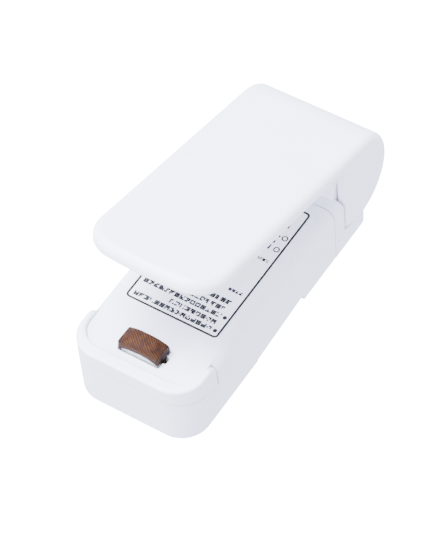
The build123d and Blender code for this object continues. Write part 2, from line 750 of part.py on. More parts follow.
with BuildPart() as heating_ribbon:
    with BuildSketch(across(heater_y + ribbon_width / 2)):
        inner_x = heater_length / 2 + ribbon_gap
        outer_x = inner_x + ribbon_thickness
        foot_x = inner_x + ribbon_foot
        foot_z = flange_top_z + ribbon_gap / 2
        lift = ribbon_gap / 2
        thick = lift + ribbon_thickness
        with BuildLine():
            Polyline((-foot_x, foot_z), (-inner_x, foot_z), (-inner_x, arch_z(inner_x, lift)))
            ThreePointArc(
                (-inner_x, arch_z(inner_x, lift)),
                (0, arch_z(0, lift)),
                (inner_x, arch_z(inner_x, lift)),
            )
            Polyline(
                (inner_x, arch_z(inner_x, lift)),
                (inner_x, foot_z),
                (foot_x, foot_z),
                (foot_x, foot_z + ribbon_thickness),
                (outer_x, foot_z + ribbon_thickness),
                (outer_x, arch_z(outer_x, thick)),
            )
            ThreePointArc(
                (outer_x, arch_z(outer_x, thick)),
                (0, arch_z(0, thick)),
                (-outer_x, arch_z(outer_x, thick)),
            )
            Polyline(
                (-outer_x, arch_z(outer_x, thick)),
                (-outer_x, foot_z + ribbon_thickness),
                (-foot_x, foot_z + ribbon_thickness),
                (-foot_x, foot_z),
            )
        make_face()
    extrude(amount=ribbon_width)
    with Locations(*[(x, heater_y, flange_top_z) for x in (-rivet_x, rivet_x)]):
        Cylinder(rivet_radius, 6 * flange_thickness, mode=Mode.SUBTRACT)
write(heating_ribbon, "heating_ribbon")

rivet_tail = 0.5  # below the flange
with BuildPart() as terminal_rivets:
    for x in (-rivet_x, rivet_x):
        with Locations((x, heater_y, flange_low_z - rivet_tail)):
            Cylinder(
                rivet_radius - 0.02,
                flange_thickness + 2 * rivet_tail,
                align=(Align.CENTER, Align.CENTER, Align.MIN),
            )
        with Locations((x, heater_y, flange_top_z + ribbon_thickness + 0.02)):
            Cylinder(
                rivet_head_radius, rivet_head, align=(Align.CENTER, Align.CENTER, Align.MIN)
            )
write(terminal_rivets, "terminal_rivets")

tape_bottom_z = heater_head_z - tape_skirt
with BuildPart() as tape_room:
    with BuildSketch(Plane.YZ):
        add(head_section(tape_lift, tape_bottom_z - 1))
    extrude(amount=heater_length, both=True)
    add(
        extrude(arch_disc(tape_lift), amount=2 * heater_depth, mode=Mode.PRIVATE),
        mode=Mode.INTERSECT,
    )
with BuildPart() as release_tape:
    with BuildSketch(Plane.YZ):
        add(head_section(tape_grow, tape_bottom_z))
    extrude(amount=tape_half_x, both=True)
    add(
        extrude(arch_disc(tape_grow), amount=2 * heater_depth, mode=Mode.PRIVATE),
        mode=Mode.INTERSECT,
    )
    add(tape_room.part, mode=Mode.SUBTRACT)
    # The two ends are folded down over the heater's ends.
    for side in (-1, 1):
        with Locations(
            (
                side * (tape_half_x - tape_thickness / 2),
                heater_y,
                arch_z(tape_half_x, tape_grow) - tape_thickness / 2,
            )
        ):
            Box(
                tape_thickness,
                tape_fold_width,
                tape_fold_height,
                align=(Align.CENTER, Align.CENTER, Align.MAX),
            )
write(release_tape, "release_tape")

carrier_spring_low = bottom_plate + carrier_wire / 2 + 0.05
carrier_spring_high = flange_low_z - carrier_wire / 2 - 0.05
with BuildPart() as carrier_springs:
    for x in (-carrier_spring_x, carrier_spring_x):
        with BuildLine():
            coil = Helix(
                pitch=(carrier_spring_high - carrier_spring_low) / carrier_spring_turns,
                height=carrier_spring_high - carrier_spring_low,
                radius=carrier_spring_radius,
                center=(x, heater_y, carrier_spring_low),
            )
        with BuildSketch(Plane(origin=coil @ 0, z_dir=coil % 0)):
            Circle(carrier_wire / 2)
        sweep(path=coil, is_frenet=True)
write(carrier_springs, "carrier_springs")

# ---------------------------------------------------------------- switch leaf
leaf_z = flange_low_z - nib_length - leaf_gap
leaf_foot_y = chamber_back_y - 0.5
with BuildPart() as switch_leaf:
    with BuildSketch(Plane.YZ.offset(nib_x - leaf_width / 2)):
        with BuildLine():
            leaf_line = Polyline(
                (heater_y + 0.4, leaf_z),
                (leaf_foot_y - 0.7, leaf_z),
                (leaf_foot_y, leaf_z - 1.0),
                (leaf_foot_y, leaf_foot_z),
            )
            offset(leaf_line, leaf_thickness / 2, kind=Kind.INTERSECTION, side=Side.BOTH)
        make_face()
    extrude(amount=leaf_width)
write(switch_leaf, "switch_leaf")

# ---------------------------------------------------------------- lead wires
lead_low_z = tab_z - contact_plate / 2 - lead_radius - lead_gap
lead_high_z = flange_low_z - rivet_tail - 0.1
leaf_side_x = nib_x + leaf_width / 2
leads = {
    # From the positive terminal's tab up to the left rivet.
    "lead_wire_left": (
        [
            (-cell_x, bay_front_y - 2.4, lead_low_z),
            (-rivet_x - 0.7, bay_front_y - 4.6, lead_low_z),
            (1 - rivet_x, heater_y + 0.6, lead_high_z - 7.6),
            (-rivet_x, heater_y, lead_high_z - 4.4),
            (-rivet_x, heater_y, lead_high_z),
        ],
        1.4,
    ),
    # From the switch leaf's foot to the right rivet.
    "lead_wire_right": (
        [
            (leaf_side_x + 0.3, leaf_foot_y - 0.8, leaf_foot_z + 0.6),
            (rivet_x - 0.6, leaf_foot_y - 1.7, leaf_foot_z + 0.2),
            (rivet_x, heater_y + 0.4, leaf_foot_z + 1.0),
            (rivet_x, heater_y, lead_high_z - 3.6),
            (rivet_x, heater_y, lead_high_z),
        ],
        1.0,
    ),
}
for name, (points, bend) in leads.items():
    with BuildPart() as lead:
        with BuildLine():
            route = FilletPolyline(*points, radius=bend)
        with BuildSketch(Plane(origin=route @ 0, z_dir=route % 0)):
            Circle(lead_radius)
        sweep(path=route)
    write(lead, name)

# ---------------------------------------------------------------- label
with BuildPart() as instruction_label:
    with BuildSketch(Plane.XY.offset(body_height)):
        with Locations((0, (label_front_y + label_back_y) / 2)):
            RectangleRounded(label_width, label_length, label_corner)
    extrude(amount=label_thickness)
write(instruction_label, "instruction_label")

# ---------------------------------------------------------------- housing screws
with BuildPart() as housing_screws:
    for x, y in (
        (nose_screw_x, nose_screw_y),
        (-nose_screw_x, nose_screw_y),
        (block_screw_x, block_screw_y),
        (-block_screw_x, block_screw_y),
    ):
        with Locations((x, y, 0.05)):
            Cylinder(
                screw_head_radius,
                screw_head_depth,
                align=(Align.CENTER, Align.CENTER, Align.MIN),
            )
            Cylinder(
                screw_radius - 0.02, screw_length, align=(Align.CENTER, Align.CENTER, Align.MIN)
            )
            Box(screw_cross, screw_cross_width, screw_head_depth, mode=Mode.SUBTRACT)
            Box(screw_cross_width, screw_cross, screw_head_depth, mode=Mode.SUBTRACT)
write(housing_screws, "housing_screws")

# ---------------------------------------------------------------- lever shell
heel = (drum_radius * sin(drum_end), -drum_radius * cos(drum_end))


def lever_outline(half, reach, corner, back):
    """Plan of the lever in its own plane: bowed tip, rounded corners, square at the back."""
    corner_y = lever_tip_bow - reach
    with BuildSketch() as outline:
        with BuildLine():
            Polyline(
                (-half, corner_y),
                (-half, back),
                (half, back),
                (half, corner_y),
            )
            ThreePointArc((half, corner_y), (0, -reach), (-half, corner_y))
        make_face()
        fillet(outline.vertices().group_by(Axis.Y)[0], corner)
    return outline.sketch


def on_lever_rim(edge):
    """True for an edge round the outside of the lever's lower rim, from ear to ear."""
    middle = lever_side.to_local_coords(edge @ 0.5)
    on_rim = abs(middle.Y - lever_underside) < 0.01 and middle.X < -ear_head_ahead - 0.01
    return on_rim and (abs(middle.Z) > 0.01 or middle.X < 2 - lever_reach)


def on_lever_skin(edge):
    """True for an edge round the outside of the lever's top face and drum."""
    middle = lever_side.to_local_coords(edge @ 0.5)
    on_top = middle.X < 0.01 and abs(middle.Y - drum_radius) < 0.01
    on_drum = abs(middle.X**2 + middle.Y**2 - drum_radius**2) < 0.1
    off_middle = abs(middle.Z) > 0.01
    return (on_top or on_drum) and off_middle or on_top and middle.X < 2 - lever_reach


with BuildPart() as lever_shell:
    with BuildSketch(lever_side):
        with BuildLine():
            Polyline(
                heel,
                (-ear_corner_ahead, -ear_corner_drop),
                (-ear_head_ahead, lever_underside),
                (-lever_reach, lever_underside),
                (-lever_reach, drum_radius),
                (0, drum_radius),
            )
            ThreePointArc(
                (0, drum_radius),
                (drum_radius, 0),
                heel,
            )
        make_face()
    extrude(amount=lever_half, both=True)
    with BuildSketch(lever_flat.offset(-drum_radius - 1)):
        Rectangle(400, 400)
        add(
            lever_outline(lever_half, lever_reach, lever_tip_corner, drum_radius + 1),
            mode=Mode.SUBTRACT,
        )
    extrude(amount=2 * drum_radius + 2, mode=Mode.SUBTRACT)
    fillet(lever_shell.edges().filter_by(on_lever_skin), lever_edge_radius)
    fillet(lever_shell.edges().filter_by(on_lever_rim), lever_rim_radius)
    # Hollow under the skin for the frame, inside the rim.
    with BuildSketch(lever_flat.offset(-drum_radius - 1)):
        add(
            lever_outline(
                lever_inner_half,
                lever_reach - lever_tip_wall,
                lever_tip_corner - lever_side_wall,
                0,
            )
        )
    extrude(amount=drum_radius + 1 + skin_inner, mode=Mode.SUBTRACT)
    # Hollow of the drum, open below and in front of its round back wall.
    with BuildSketch(lever_side):
        Circle(drum_radius - drum_wall)
        with BuildLine():
            Polyline(
                (0, 0),
                (2 * drum_radius * sin(drum_end), -2 * drum_radius * cos(drum_end)),
                (-2 * drum_radius, -2 * drum_radius),
                (-2 * drum_radius, 0),
                close=True,
            )
        make_face()
    extrude(amount=lever_inner_half, both=True, mode=Mode.SUBTRACT)
    # Bosses that the lever screws bite into.
    with BuildSketch(lever_flat.offset(skin_inner)):
        with Locations(*[(0, -reach) for reach in lever_screw_reach]):
            Circle(lever_screw_shank)
    extrude(amount=lever_screw_bite + 0.2, mode=Mode.SUBTRACT)
write(lever_shell, "lever_shell")

# ---------------------------------------------------------------- lever frame
with BuildPart() as lever_frame:
    with BuildSketch(lever_flat.offset(frame_low)):
        add(
            lever_outline(
                lever_inner_half - lever_fit_gap,
                lever_reach - lever_tip_wall - lever_fit_gap,
                lever_tip_corner - lever_side_wall - lever_fit_gap,
                -lug_root_back,
            )
        )
    extrude(amount=frame_plate)
    # A lug at each side, from the plate down to the hinge pin.
    for side in (-1, 1):
        with BuildSketch(lever_side.offset(side * (lug_inner_x + lug_thickness / 2))):
            Circle(lug_radius)
            with BuildLine():
                Polyline(
                    (-lug_radius * cos(tilt), -lug_radius * sin(tilt)),
                    (lug_radius * cos(tilt), lug_radius * sin(tilt)),
                    (-lug_root_back, frame_low + 0.5),
                    (-lug_root_ahead, frame_low + 0.5),
                    close=True,
                )
            make_face()
            Circle(pin_radius, mode=Mode.SUBTRACT)
        extrude(amount=lug_thickness / 2, both=True)
    # Groove for the presser pad.
    with BuildSketch(lever_flat.offset(frame_low)):
        with Locations((0, pad_depth / 2 - pad_reach)):
            Rectangle(pad_length, pad_depth)
    extrude(amount=pad_set_in, mode=Mode.SUBTRACT)
    # Countersunk screw holes.
    with BuildSketch(lever_flat.offset(frame_low)):
        with Locations(*[(0, -reach) for reach in lever_screw_reach]):
            Circle(lever_screw_head + screw_hole_gap)
    extrude(amount=lever_screw_head_depth + screw_hole_gap, mode=Mode.SUBTRACT)
    with BuildSketch(lever_flat.offset(frame_low)):
        with Locations(*[(0, -reach) for reach in lever_screw_reach]):
            Circle(lever_screw_shank + screw_hole_gap)
    extrude(amount=lever_thickness, mode=Mode.SUBTRACT)
write(lever_frame, "lever_frame")

# ---------------------------------------------------------------- presser pad
with BuildPart() as presser_pad:
    with BuildSketch(lever_flat.offset(pad_low)):
        with Locations((0, pad_depth / 2 - pad_reach)):
            Rectangle(pad_length, pad_depth)
    extrude(amount=frame_low + pad_set_in - pad_low)
    pad_face = presser_pad.faces().sort_by(lambda f: lever_flat.to_local_coords(f.center()).Z)[0]
    fillet(pad_face.edges(), 0.5)
write(presser_pad, "presser_pad")

# ---------------------------------------------------------------- lever screws
with BuildPart() as lever_screws:
    with BuildSketch(lever_flat.offset(frame_low + 0.05)):
        with Locations(*[(0, -reach) for reach in lever_screw_reach]):
            Circle(lever_screw_head)
    extrude(amount=lever_screw_head_depth)
    with BuildSketch(lever_flat.offset(frame_low + 0.05)):
        with Locations(*[(0, -reach) for reach in lever_screw_reach]):
            Circle(lever_screw_shank - 0.02)
    extrude(amount=frame_plate + lever_screw_bite)
    with BuildSketch(lever_flat.offset(frame_low)):
        with Locations(*[(0, -reach) for reach in lever_screw_reach]):
            Rectangle(lever_screw_cross, screw_cross_width)
            Rectangle(screw_cross_width, lever_screw_cross)
    extrude(amount=0.5, mode=Mode.SUBTRACT)
write(lever_screws, "lever_screws")

# ---------------------------------------------------------------- hinge pin
with BuildPart() as hinge_pin:
    with Locations((0, pivot_y, pivot_z)):
        Cylinder(pin_radius, 2 * pin_half, rotation=(0, 90, 0))
    chamfer(hinge_pin.edges().filter_by(GeomType.CIRCLE), pin_chamfer)
write(hinge_pin, "hinge_pin")

# ---------------------------------------------------------------- torsion spring
# The coil starts under the pin, where the low leg runs forward over the block, and ends
# behind the pin, where the high leg runs up and forward to the lever's frame.
hinge_line = Axis((0, pivot_y, pivot_z), (1, 0, 0))
coil_pitch = hinge_wire + 0.1
coil_start_angle = 180 + low_leg_drop
coil_end_angle = 360 - lever_rest_tilt - high_leg_rise
coil_turns = hinge_whole_turns + (coil_end_angle - coil_start_angle) / 360
coil_half = coil_turns * coil_pitch / 2
high_leg_length = (
    frame_low - hinge_wire / 2 - 0.05 - hinge_coil_radius * cos(radians(high_leg_rise))
) / sin(radians(high_leg_rise))
spring_coil = Helix(
    pitch=coil_pitch,
    height=2 * coil_half,
    radius=hinge_coil_radius,
    center=(-coil_half, pivot_y, pivot_z),
    direction=(1, 0, 0),
).rotate(hinge_line, coil_start_angle)
with BuildPart() as torsion_spring:
    with BuildSketch(Plane(origin=spring_coil @ 0, z_dir=spring_coil % 0)):
        Circle(hinge_wire / 2)
    sweep(path=spring_coil, is_frenet=True)
    with BuildSketch(Plane(origin=spring_coil @ 0, z_dir=-(spring_coil % 0))):
        Circle(hinge_wire / 2)
    extrude(amount=low_leg_length)
    with BuildSketch(Plane(origin=spring_coil @ 1, z_dir=spring_coil % 1)):
        Circle(hinge_wire / 2)
    extrude(amount=high_leg_length)
write(torsion_spring, "torsion_spring")
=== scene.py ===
# Hand-held bag sealer: white moulded shells, a cloth-taped heater, a printed label and a small studio
import bpy
import bmesh
import math
import random
from mathutils import Matrix, Vector, noise


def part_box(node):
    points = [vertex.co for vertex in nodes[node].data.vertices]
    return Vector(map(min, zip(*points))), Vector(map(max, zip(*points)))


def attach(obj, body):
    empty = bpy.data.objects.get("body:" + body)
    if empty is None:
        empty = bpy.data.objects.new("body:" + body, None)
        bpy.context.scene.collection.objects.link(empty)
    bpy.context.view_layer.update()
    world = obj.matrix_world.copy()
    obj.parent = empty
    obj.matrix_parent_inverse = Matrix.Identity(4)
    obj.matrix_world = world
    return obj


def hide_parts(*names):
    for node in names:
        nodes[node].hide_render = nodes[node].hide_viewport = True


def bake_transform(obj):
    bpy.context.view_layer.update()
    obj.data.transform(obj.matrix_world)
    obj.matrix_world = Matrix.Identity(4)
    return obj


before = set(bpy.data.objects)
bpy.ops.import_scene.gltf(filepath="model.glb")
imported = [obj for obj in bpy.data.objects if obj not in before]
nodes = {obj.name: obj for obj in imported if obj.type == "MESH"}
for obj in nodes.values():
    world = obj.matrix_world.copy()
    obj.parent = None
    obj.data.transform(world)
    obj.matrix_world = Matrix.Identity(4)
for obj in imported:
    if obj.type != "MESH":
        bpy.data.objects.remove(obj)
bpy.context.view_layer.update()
mm = 0.001  # the scene is in metres
print("frame loaded:", len(nodes), "nodes")

# studio: camera, floor and lights
studio = {
    "azimuth": 37.42,  # degrees round to the right from the nose
    "elevation": 52.38,
    "roll": -5.91,
    "distance": 667.75 * mm,
    "lens": 168.9,
    "aim": Vector((-2.06, -4.57, 11.70)) * mm,
    "floorSize": 4.0,
    "floorColour": "#ececee",
    "floorGlow": 16.0,  # the white sweep is lit from behind, and doesn't light the object
    "roomColour": "#e9edff",
    "roomStrength": 3.5,
    "lampColour": "#f0f2ff",
    "lampAim": (0, 0, 0.02),
    # each lamp: name, place, size and power
    "lamps": [("topSoftbox", (-0.30, -0.10, 1.0), 0.6, 52), ("noseFill", (-0.45, -1.0, 0.45), 0.7, 22)],
}


def viewAxes(azimuth, elevation, roll):
    # right, up and back of a camera, as unit vectors
    a, e, r = (math.radians(v) for v in (azimuth, elevation, roll))
    back = Vector((math.sin(a) * math.cos(e), -math.cos(a) * math.cos(e), math.sin(e)))
    right = Vector((math.cos(a), math.sin(a), 0))
    up = back.cross(right)
    return right * math.cos(r) + up * math.sin(r), up * math.cos(r) - right * math.sin(r), back


def addCamera(settings):
    right, up, back = viewAxes(settings["azimuth"], settings["elevation"], settings["roll"])
    lens = bpy.data.cameras.new("camera")
    lens.lens = settings["lens"]
    lens.sensor_width = 36
    lens.clip_start, lens.clip_end = 0.01, 20
    camera = bpy.data.objects.new("camera", lens)
    place = settings["aim"] + back * settings["distance"]
    camera.matrix_world = Matrix.Translation(place) @ Matrix((right, up, back)).transposed().to_4x4()
    bpy.context.scene.collection.objects.link(camera)
    bpy.context.scene.camera = camera


def addSoftbox(name, place, size, power, aim):
    lamp = bpy.data.lights.new(name, "AREA")
    lamp.shape = "DISK"
    lamp.size = size
    lamp.energy = power
    lamp.color = linearColour(studio["lampColour"])[:3]
    light = bpy.data.objects.new(name, lamp)
    light.location = place
    light.rotation_euler = (Vector(place) - Vector(aim)).to_track_quat("Z", "Y").to_euler()
    bpy.context.scene.collection.objects.link(light)


def linearColour(hexCode):
    # sRGB hex to the linear colour that shaders take
    values = [int(hexCode[i : i + 2], 16) / 255 for i in (1, 3, 5)]
    return [v / 12.92 if v <= 0.04045 else ((v + 0.055) / 1.055) ** 2.4 for v in values] + [1.0]


def addNode(tree, kind, settings=None, inputs=None, stops=(), output=0):
    # adds a shader node and gives one of its outputs; an input is a value, or another node's output
    # to link, and stops are a ramp's places and sRGB hex colours, in order
    node = tree.nodes.new(kind)
    for key, value in (settings or {}).items():
        setattr(node, key, value)
    for key, value in (inputs or {}).items():
        if isinstance(value, bpy.types.NodeSocket):
            tree.links.new(value, node.inputs[key])
        else:
            node.inputs[key].default_value = value
    for index, (place, colour) in enumerate(stops):
        elements = node.color_ramp.elements
        element = elements[index] if index < len(elements) else elements.new(place)
        element.position = place
        element.color = linearColour(colour)
    return node.outputs[output] if node.outputs else None


def newMaterial(name):
    material = bpy.data.materials.new(name)
    material.use_nodes = True
    material.node_tree.nodes.clear()
    return material, material.node_tree


addCamera(studio)
bpy.ops.mesh.primitive_plane_add(size=studio["floorSize"])
floor = bpy.context.object
floor.name = "floor"
sweep, tree = newMaterial("litPaperSweep")
paper = addNode(tree, "ShaderNodeBsdfPrincipled", inputs={
    "Base Color": linearColour(studio["floorColour"]), "Roughness": 0.9,
    "Emission Color": linearColour("#ffffff"), "Emission Strength": studio["floorGlow"]})
addNode(tree, "ShaderNodeOutputMaterial", inputs={"Surface": paper})
floor.data.materials.append(sweep)
floor.visible_diffuse = floor.visible_glossy = False

room = bpy.data.worlds.new("softRoom")
room.use_nodes = True
room.node_tree.nodes["Background"].inputs["Color"].default_value = linearColour(studio["roomColour"])
room.node_tree.nodes["Background"].inputs["Strength"].default_value = studio["roomStrength"]
bpy.context.scene.world = room
for lampFacts in studio["lamps"]:
    addSoftbox(*lampFacts, studio["lampAim"])
print("studio ready")


# finishes: each is a dictionary, and one function makes a material of it
noiseLow, noiseHigh = 0.3, 0.7  # where most of a noise texture's values lie
noiseDetail = 3.0


def newFinish(name, finish):
    # drift is a slow change over the surface and grain is its fine texture, both sized in mm;
    # tones and roughness follow whichever of the two the finish says
    material, tree = newMaterial(name)
    place = addNode(tree, "ShaderNodeTexCoord", output="Object")
    combed = addNode(tree, "ShaderNodeMapping", inputs={"Vector": place, "Scale": finish["stretch"]})
    noises = {
        "drift": addNode(tree, "ShaderNodeTexNoise", inputs={
            "Vector": place, "Scale": 1 / (finish["drift"] * mm), "Detail": noiseDetail}),
        "grain": addNode(tree, finish["grainNode"], inputs={
            "Vector": combed, "Scale": 1 / (finish["grain"] * mm), "Detail": noiseDetail})}
    ripple = addNode(tree, "ShaderNodeBump", inputs={
        "Height": noises["drift"], "Distance": finish["rippleDepth"] * mm})
    relief = addNode(tree, "ShaderNodeBump", inputs={
        "Height": noises["grain"], "Distance": finish["grainDepth"] * mm, "Normal": ripple})
    colour = addNode(tree, "ShaderNodeValToRGB", inputs={"Fac": noises[finish["toneBy"]]},
                     stops=finish["tones"])
    low, high = finish["roughness"]
    gloss = addNode(tree, "ShaderNodeMapRange", inputs={
        "Value": noises[finish["glossBy"]], "From Min": noiseLow, "From Max": noiseHigh,
        "To Min": low, "To Max": high})
    shader = addNode(tree, "ShaderNodeBsdfPrincipled", inputs={
        "Base Color": colour, "Roughness": gloss, "Normal": relief, **finish["shader"]})
    addNode(tree, "ShaderNodeOutputMaterial", inputs={"Surface": shader})
    return material


def dress(names, material):
    for name in names:
        nodes[name].data.materials.clear()
        nodes[name].data.materials.append(material)


# ABS injected against a finely spark-eroded tool: satin, with a faint even sparkle of tiny pits;
# the real grain is about 0.05 mm, and is drawn coarser, so that it shows
housingFinish = {
    "tones": [(0.35, "#e9eaf5"), (0.65, "#eeeff9")], "toneBy": "drift",
    "drift": 12, "rippleDepth": 0.03,
    "grainNode": "ShaderNodeTexNoise", "grain": 0.30, "grainDepth": 0.006, "stretch": (1, 1, 1),
    "roughness": (0.39, 0.49), "glossBy": "drift",
    "shader": {"IOR": 1.53, "Subsurface Weight": 0.05, "Subsurface Scale": 1.0,
               "Subsurface Radius": (0.6 * mm, 0.6 * mm, 0.6 * mm)}}
leverFinish = dict(housingFinish, tones=[(0.35, "#eceef8"), (0.65, "#f0f2fb")], roughness=(0.35, 0.45))
frameFinish = dict(
    housingFinish, tones=[(0.35, "#dfe0e5"), (0.65, "#e6e7eb")], roughness=(0.45, 0.55), grain=0.4)
dress(["top_cover", "nose_guard", "hinge_block", "bottom_cover", "battery_door"],
      newFinish("mouldedAbsHousing", housingFinish))
dress(["lever_shell"], newFinish("mouldedAbsLever", leverFinish))
dress(["lever_frame"], newFinish("mouldedAbsFrame", frameFinish))

# nylon with chopped glass, moulded: off-white, dry and dull, with short fibres lying in the skin
nylonFinish = dict(
    housingFinish, tones=[(0.35, "#cfd5d2"), (0.6, "#e2e7e4"), (0.75, "#eef1ef")],
    toneBy="grain", glossBy="grain", grain=0.5, grainDepth=0.02, stretch=(0.35, 1.6, 1.0),
    roughness=(0.5, 0.68), shader={"IOR": 1.53})
# built-up mica, pressed and split: pale grey-green and flaky, with a soft glint from each flake
micaFinish = dict(
    nylonFinish, tones=[(0.1, "#dfe3dc"), (0.9, "#c3c8bf")], grainNode="ShaderNodeTexVoronoi", grain=0.9,
    stretch=(1, 1, 1), roughness=(0.3, 0.55), shader={"IOR": 1.58})
dress(["heater_carrier"], newFinish("mouldedGlassNylon", nylonFinish))
dress(["heater_insulator"], newFinish("pressedMica", micaFinish))
print("plastics finished")

# metal strip, rolled and nickel plated: bright warm silver, with fine lines along its length
nickelFinish = dict(
    housingFinish, tones=[(0.3, "#a9a59c"), (0.7, "#cfcbc2")], drift=2.5, rippleDepth=0.002, grain=0.25,
    grainDepth=0.004, stretch=(0.15, 1.5, 1.5), roughness=(0.18, 0.36), glossBy="grain",
    shader={"Metallic": 1.0})
# wire drawn through a die: grey, with lines round the coil
springFinish = dict(
    nickelFinish, tones=[(0.3, "#7c7e82"), (0.7, "#a3a5a8")], stretch=(0.3, 0.3, 1.0), roughness=(0.22, 0.40))
# cold-headed screws, zinc plated: bluish grey, dulled by the barrel they were tumbled in
zincFinish = dict(
    nickelFinish, tones=[(0.3, "#8f959e"), (0.7, "#b9bec6")], stretch=(1.0, 1.0, 0.2), roughness=(0.26, 0.44))
# steel rod, ground: cool and bright, with rings round it
pinFinish = dict(
    nickelFinish, tones=[(0.3, "#98999c"), (0.7, "#b4b5b8")], stretch=(4.0, 0.6, 0.6), roughness=(0.12, 0.30))
# nichrome ribbon, browned by its own heat
ribbonFinish = dict(
    nickelFinish, tones=[(0.3, "#463f3a"), (0.7, "#6f6861")], stretch=(0.2, 2.0, 1.0), roughness=(0.34, 0.52))
# brass rivets, headed and tinned: yellowish grey, a little rough
rivetFinish = dict(
    nickelFinish, tones=[(0.3, "#93835c"), (0.7, "#c4b58c")], stretch=(1, 1, 1), roughness=(0.28, 0.46))
springSteel = newFinish("drawnSpringSteel", springFinish)
dress(["positive_terminal", "negative_terminal", "bridge_contact", "switch_leaf"],
      newFinish("nickelPlatedStrip", nickelFinish))
dress(["contact_springs", "carrier_springs"], springSteel)
dress(["housing_screws", "lever_screws"], newFinish("zincPlatedSteel", zincFinish))
dress(["hinge_pin"], newFinish("groundSteelPin", pinFinish))
dress(["heating_ribbon"], newFinish("oxidisedNichrome", ribbonFinish))
dress(["terminal_rivets"], newFinish("tinnedBrassRivet", rivetFinish))
print("metals finished")

# PVC insulation, extruded over the strands: slightly soft shine, a slow orange-peel ripple
vinylFinish = dict(
    housingFinish, tones=[(0.3, "#96201a"), (0.7, "#b3261e")], drift=0.8, rippleDepth=0.015, grainDepth=0.002,
    roughness=(0.32, 0.45), shader={"IOR": 1.54})
blackVinylFinish = dict(vinylFinish, tones=[(0.3, "#18181b"), (0.7, "#26262a")])
# silicone rubber, compression moulded: milky, dull, with a dusting of lint-sized specks
siliconeFinish = dict(
    housingFinish, tones=[(0.35, "#bdbfc2"), (0.65, "#cfd1d3")], drift=2.0, rippleDepth=0.01, grain=0.25,
    grainDepth=0.008, roughness=(0.55, 0.7),
    shader={"IOR": 1.41, "Subsurface Weight": 0.2, "Subsurface Scale": 1.0,
            "Subsurface Radius": (0.8 * mm, 0.8 * mm, 0.8 * mm)})
# polypropylene label film, calendered: greyer than the housing, smooth, with a slow roll of the glue
filmFinish = dict(
    housingFinish, tones=[(0.3, "#eeeef1"), (0.7, "#f3f3f6")], drift=7, grain=0.35, grainDepth=0.004,
    roughness=(0.36, 0.46), shader={"IOR": 1.49})
# black screen ink on film: nearly black, a little thin in places, semi-matt
inkFinish = dict(
    housingFinish, tones=[(0.3, "#0a0b0d"), (0.7, "#17181b")], drift=0.5, rippleDepth=0.004, grainDepth=0.002,
    roughness=(0.45, 0.6), shader={"IOR": 1.5, "Specular IOR Level": 0.3})
dress(["lead_wire_left"], newFinish("extrudedVinylRed", vinylFinish))
dress(["lead_wire_right"], newFinish("extrudedVinylBlack", blackVinylFinish))
dress(["presser_pad"], newFinish("mouldedSilicone", siliconeFinish))
dress(["instruction_label"], newFinish("calenderedLabelFilm", filmFinish))

# dry cell: a steel can in a shrink sleeve, satin green with a pale band, and bare nickel at both ends
cell = {
    "bands": [(0.0, "#c6c3bb"), (0.032, "#3c5a4b"), (0.16, "#d8dad3"), (0.2, "#54786a"),
              (0.985, "#c6c3bb")],
    "sleeve": (0.032, 0.985),  # the sleeved part of the length, from the button's end
    "scuff": 1.2,  # mm across
    "scuffDepth": 0.006 * mm,
    "roughness": (0.26, 0.42),
}


def sleevedCell(name, buttonEnd, settings):
    low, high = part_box(name)
    material, tree = newMaterial("shrinkSleeve." + name)
    place = addNode(tree, "ShaderNodeTexCoord", output="Object")
    along = addNode(tree, "ShaderNodeSeparateXYZ", inputs={"Vector": place}, output="Y")
    middle, half = (low.y + high.y) / 2, (high.y - low.y) / 2
    # 0 at the button's end, 1 at the flat end
    share = addNode(tree, "ShaderNodeMapRange", inputs={
        "Value": along, "From Min": middle + buttonEnd * half, "From Max": middle - buttonEnd * half})
    bands = addNode(tree, "ShaderNodeValToRGB", inputs={"Fac": share}, stops=settings["bands"])
    bands.node.color_ramp.interpolation = "CONSTANT"
    near, far = settings["sleeve"]
    button = addNode(tree, "ShaderNodeMath", {"operation": "LESS_THAN"}, {0: share, 1: near})
    flat = addNode(tree, "ShaderNodeMath", {"operation": "GREATER_THAN"}, {0: share, 1: far})
    bare = addNode(tree, "ShaderNodeMath", {"operation": "ADD"}, {0: button, 1: flat})
    scuffs = addNode(tree, "ShaderNodeTexNoise", inputs={
        "Vector": place, "Scale": 1 / (settings["scuff"] * mm), "Detail": 4.0})
    low, high = settings["roughness"]
    gloss = addNode(tree, "ShaderNodeMapRange", inputs={
        "Value": scuffs, "From Min": noiseLow, "From Max": noiseHigh, "To Min": low, "To Max": high})
    relief = addNode(tree, "ShaderNodeBump", inputs={"Height": scuffs, "Distance": settings["scuffDepth"]})
    shader = addNode(tree, "ShaderNodeBsdfPrincipled", inputs={
        "Base Color": bands, "Metallic": bare, "Roughness": gloss, "Normal": relief})
    addNode(tree, "ShaderNodeOutputMaterial", inputs={"Surface": shader})
    return material


dress(["battery_cell_left"], sleevedCell("battery_cell_left", -1, cell))
dress(["battery_cell_right"], sleevedCell("battery_cell_right", 1, cell))
print("leads, pad, label film and cells finished")


def keepPiece(name, mesh, material, body, replaced=()):
    # a finished mesh becomes a piece that rides on a body
    data = bpy.data.meshes.new(name)
    mesh.normal_update()
    mesh.to_mesh(data)
    mesh.free()
    piece = bpy.data.objects.new(name, data)
    bpy.context.scene.collection.objects.link(piece)
    data.materials.append(material)
    if body:
        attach(piece, body)
    if replaced:
        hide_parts(*replaced)
    return piece


